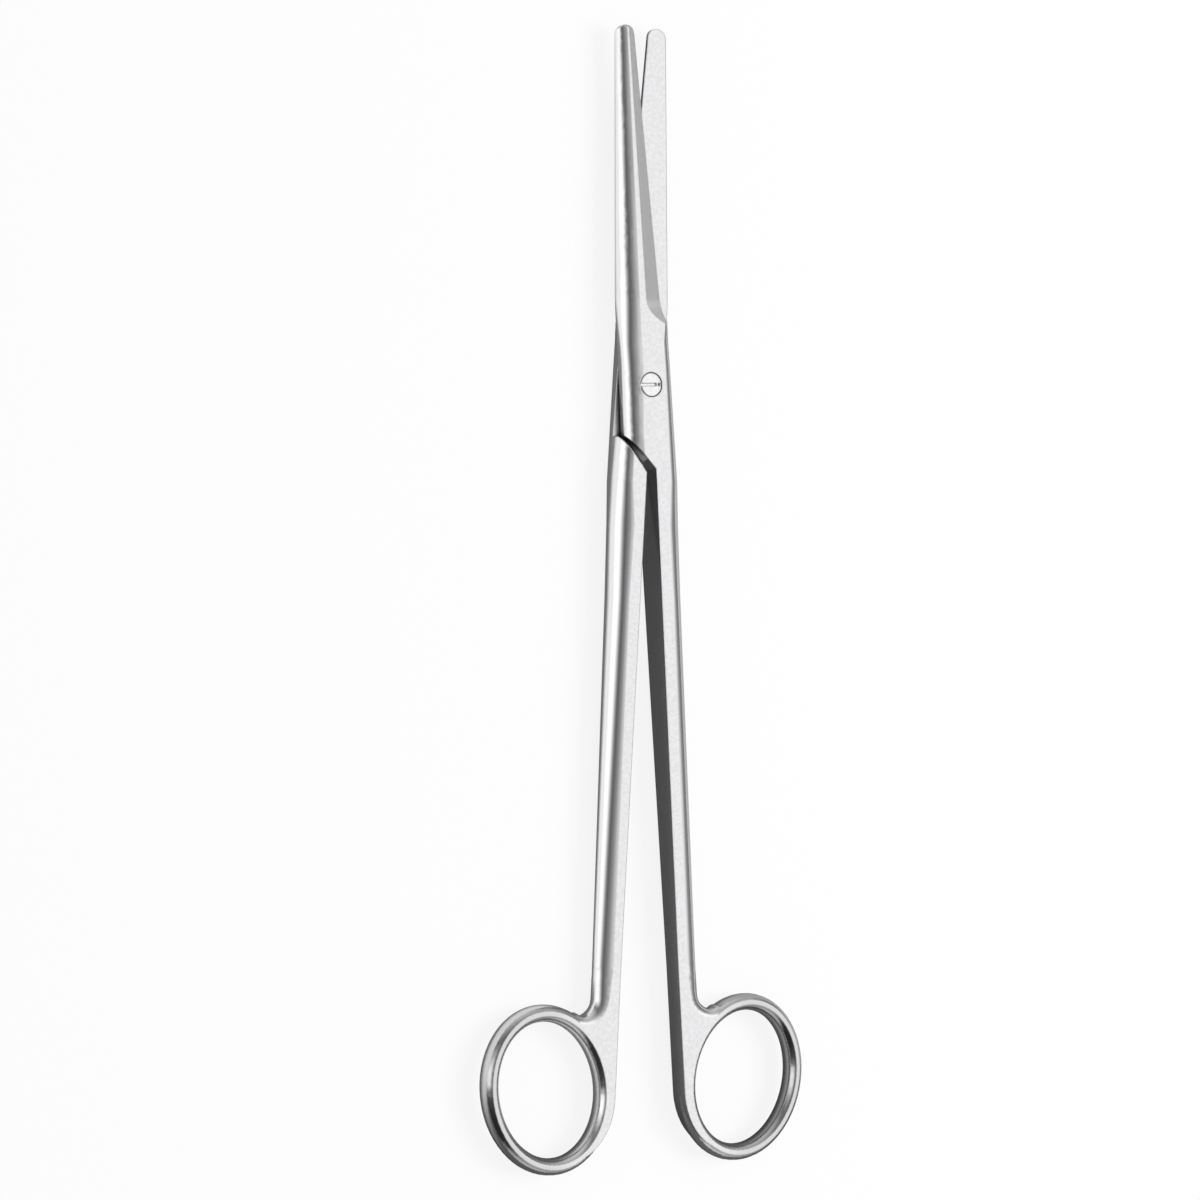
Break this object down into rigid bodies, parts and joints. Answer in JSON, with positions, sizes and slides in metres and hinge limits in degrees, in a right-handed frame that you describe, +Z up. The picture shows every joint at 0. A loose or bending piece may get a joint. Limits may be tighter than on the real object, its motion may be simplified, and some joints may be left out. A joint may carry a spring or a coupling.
{
  "type": "dissecting scissors",
  "caption": "Long straight dissecting scissors with slim blunt blades, a lap joint with a slotted pivot screw, and oval finger rings.",
  "frame": {"origin": "on the pivot screw's axis, level with the flat underside of the joint", "axes": "+Y towards the blade tips, +Z up out of the side that shows the screw's head, +X towards the finger ring on the right of that view"},
  "size_m": [0.0734, 0.2278, 0.0077],
  "materials": {
    "blade_steel": "satin ground flats, polished edges and rings",
    "screw_steel": "ground flush with the joint"
  },
  "bodies": {
    "lower": {"lower_half": "blade_steel", "pivot_screw": "screw_steel"},
    "upper": {"upper_half": "blade_steel"}
  },
  "joints": [
    {"name": "pivot", "type": "hinge", "parent": "lower", "child": "upper", "pos_m": [0, 0, 0.00385], "axis": [0, 0, 1], "range_deg": [-6.4, 80]}
  ]
}
